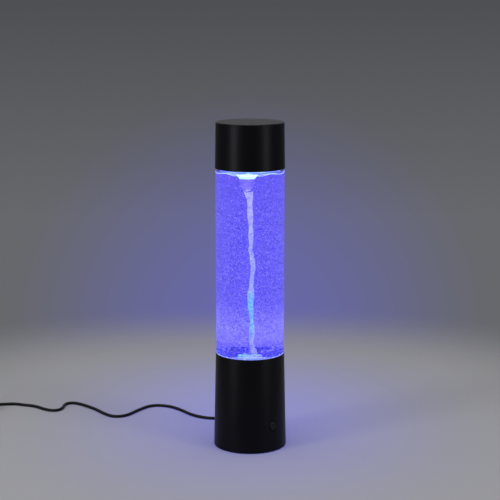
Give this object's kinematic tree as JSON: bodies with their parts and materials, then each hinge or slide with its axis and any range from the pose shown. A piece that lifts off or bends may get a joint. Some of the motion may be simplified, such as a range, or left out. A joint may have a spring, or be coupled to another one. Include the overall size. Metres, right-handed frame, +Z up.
{
  "type": "tornado lamp",
  "caption": "Tall round table lamp: black base and cap, clear vessel of water with a lit whirl made by a magnetic stirrer.",
  "frame": {"origin": "on the table, under the lamp's axis", "axes": "+Z up along the lamp's axis, -Y towards the front, +X to the right as seen from the front"},
  "size_m": [0.3979, 0.1929, 0.36],
  "materials": {
    "black_abs": "fine moulded satin, black",
    "black_plate": "moulded satin, black",
    "button_abs": "satin, black",
    "foot_rubber": "matt",
    "screw_steel": "zinc plated",
    "white_abs": "moulded, white",
    "circuit_board": "solder mask, semi-gloss",
    "white_board": "white solder mask, semi-gloss",
    "light_diode": "white case with a clear lens, lit",
    "motor_steel": "drawn steel",
    "motor_nylon": "natural nylon",
    "ferrite": "sintered, dark grey",
    "rotor_core": "stacked laminations",
    "shaft_steel": "ground",
    "carrier_nylon": "moulded, white",
    "plated_magnet": "nickel plated",
    "clear_acrylic": "clear, polished",
    "clear_moulding": "clear, moulded",
    "seal_rubber": "matt",
    "plug_rubber": "matt grey",
    "lit_water": "clear liquid lit violet-blue",
    "stirrer_plastic": "moulded, white",
    "switch_plastic": "matt black",
    "plunger_plastic": "natural",
    "chip_epoxy": "moulded epoxy",
    "capacitor_can": "sleeved can",
    "connector_nylon": "natural nylon",
    "lead_cover": "soft lead cover",
    "cord_cover": "soft satin cover, black",
    "plug_cover": "soft moulded, black",
    "plug_steel": "folded, plated",
    "tongue_plastic": "moulded, white"
  },
  "bodies": {
    "root": {"base_shell": "black_abs", "base_plate": "black_plate", "rubber_feet": "foot_rubber", "plate_screws": "screw_steel", "light_deck": "white_abs", "deck_screws": "screw_steel", "led_board": "white_board", "leds": "light_diode", "led_board_screws": "screw_steel", "light_reflector": "white_abs", "motor_can": "motor_steel", "motor_screws": "screw_steel", "motor_end_bell": "motor_nylon", "motor_magnet": "ferrite", "vessel_tube": "clear_acrylic", "vessel_floor": "clear_moulding", "vessel_lid": "clear_moulding", "vessel_gasket": "seal_rubber", "water_fill": "lit_water", "stirrer_pin": "shaft_steel", "switch_body": "switch_plastic", "control_board": "circuit_board", "control_chip": "chip_epoxy", "capacitor": "capacitor_can", "lead_connector": "connector_nylon", "inlet_block": "connector_nylon", "strain_relief": "cord_cover", "inner_lead": "cord_cover", "light_leads": "lead_cover", "motor_leads": "lead_cover", "power_cord": "cord_cover", "cord_coil": "cord_cover", "plug_lead": "cord_cover", "plug_grip": "plug_cover", "plug_shell": "plug_steel", "plug_tongue": "tongue_plastic"},
    "cap": {"top_cap": "black_abs"},
    "plug": {"filler_plug": "plug_rubber"},
    "button": {"push_button": "button_abs", "switch_plunger": "plunger_plastic"},
    "rotor": {"motor_shaft": "shaft_steel", "motor_rotor": "rotor_core", "magnet_carrier": "carrier_nylon", "drive_magnets": "plated_magnet"},
    "stirrer": {"stirrer": "stirrer_plastic", "stirrer_magnets": "plated_magnet"}
  },
  "joints": [
    {"name": "cap_lift", "type": "slide", "parent": "root", "child": "cap", "axis": [0, 0, 1], "range_m": [0, 0.06]},
    {"name": "plug_pull", "type": "slide", "parent": "root", "child": "plug", "axis": [0, 0, 1], "range_m": [0, 0.012]},
    {"name": "button_press", "type": "slide", "parent": "root", "child": "button", "axis": [-0.6494, 0.7604, 0], "range_m": [0, 0.001], "stiffness_N_per_m": 1500, "springref_m": -0.0005},
    {"name": "motor_spin", "type": "hinge", "parent": "root", "child": "rotor", "pos_m": [0, 0, 0.0795], "axis": [0, 0, 1], "continuous": true},
    {"name": "stirrer_spin", "type": "hinge", "parent": "root", "child": "stirrer", "pos_m": [0, 0, 0.1014], "axis": [0, 0, 1], "continuous": true}
  ],
  "couplings": [
    {"joint": "stirrer_spin", "follows": "motor_spin", "ratio": 1}
  ]
}
